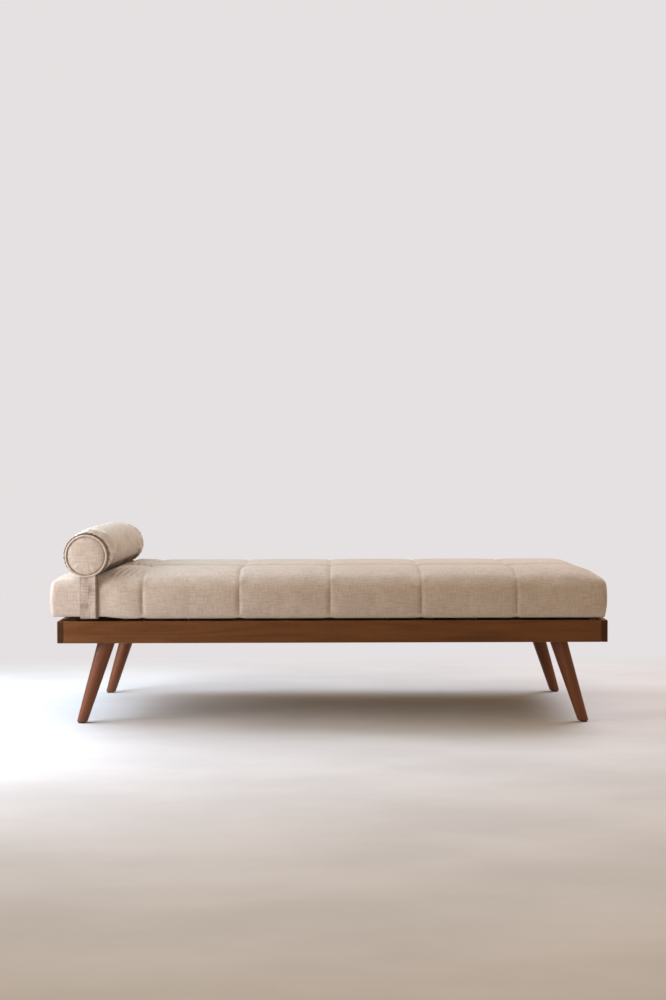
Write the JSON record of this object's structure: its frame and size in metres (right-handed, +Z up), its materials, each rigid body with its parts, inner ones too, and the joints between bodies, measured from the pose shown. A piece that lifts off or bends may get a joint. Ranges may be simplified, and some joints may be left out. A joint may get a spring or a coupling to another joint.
{
  "type": "daybed",
  "caption": "Upholstered daybed with a slatted timber frame, splayed round tapered legs, a quilted loose mattress and a bolster held at the head end by a strap.",
  "frame": {"origin": "on the floor, under the middle of the mattress", "axes": "+X along the length, towards the foot end; -Y out of the front; +Z up"},
  "size_m": [1.93, 0.7766, 0.676],
  "materials": {
    "rail_walnut": "satin",
    "leg_walnut": "satin",
    "deck_timber": "matte",
    "linen": "matte",
    "foam": "matte",
    "zinc_steel": "satin",
    "zip_metal": "satin",
    "zip_tape": "matte",
    "glide_nylon": "matte"
  },
  "bodies": {
    "frame": {"centre_beam": "deck_timber", "corner_block_back_foot": "deck_timber", "corner_block_back_head": "deck_timber", "corner_block_front_foot": "deck_timber", "corner_block_front_head": "deck_timber", "foot_glide_back_foot": "glide_nylon", "foot_glide_back_head": "glide_nylon", "foot_glide_front_foot": "glide_nylon", "foot_glide_front_head": "glide_nylon", "hanger_bolt_back_foot": "zinc_steel", "hanger_bolt_back_head": "zinc_steel", "hanger_bolt_front_foot": "zinc_steel", "hanger_bolt_front_head": "zinc_steel", "leg_back_foot": "leg_walnut", "leg_back_head": "leg_walnut", "leg_bearer_foot": "deck_timber", "leg_bearer_head": "deck_timber", "leg_front_foot": "leg_walnut", "leg_front_head": "leg_walnut", "leg_plate_back_foot": "zinc_steel", "leg_plate_back_head": "zinc_steel", "leg_plate_front_foot": "zinc_steel", "leg_plate_front_head": "zinc_steel", "rail_back": "rail_walnut", "rail_front": "rail_walnut", "side_rail_foot": "rail_walnut", "side_rail_head": "rail_walnut", "slat_01": "deck_timber", "slat_02": "deck_timber", "slat_03": "deck_timber", "slat_04": "deck_timber", "slat_05": "deck_timber", "slat_06": "deck_timber", "slat_07": "deck_timber", "slat_08": "deck_timber", "slat_09": "deck_timber", "slat_10": "deck_timber", "slat_11": "deck_timber", "slat_12": "deck_timber", "slat_cleat_back": "deck_timber", "slat_cleat_front": "deck_timber"},
    "mattress": {"mattress_bottom_panel": "linen", "mattress_boxing": "linen", "mattress_core": "foam", "mattress_top_panel": "linen", "mattress_zip": "zip_tape"},
    "bolster": {"bolster_core": "foam", "bolster_end_back": "linen", "bolster_end_front": "linen", "bolster_piping_back": "linen", "bolster_piping_front": "linen", "bolster_sleeve": "linen", "bolster_strap": "linen"},
    "zip_runner": {"zip_slider": "zip_metal"}
  },
  "joints": [
    {"name": "mattress_lift", "type": "slide", "parent": "frame", "child": "mattress", "axis": [0, 0, 1], "range_m": [0, 0.3]},
    {"name": "bolster_slide", "type": "slide", "parent": "mattress", "child": "bolster", "axis": [-1, 0, 0], "range_m": [0, 0.2]},
    {"name": "zip_slide", "type": "slide", "parent": "mattress", "child": "zip_runner", "axis": [-1, 0, 0], "range_m": [0, 1.176]}
  ]
}
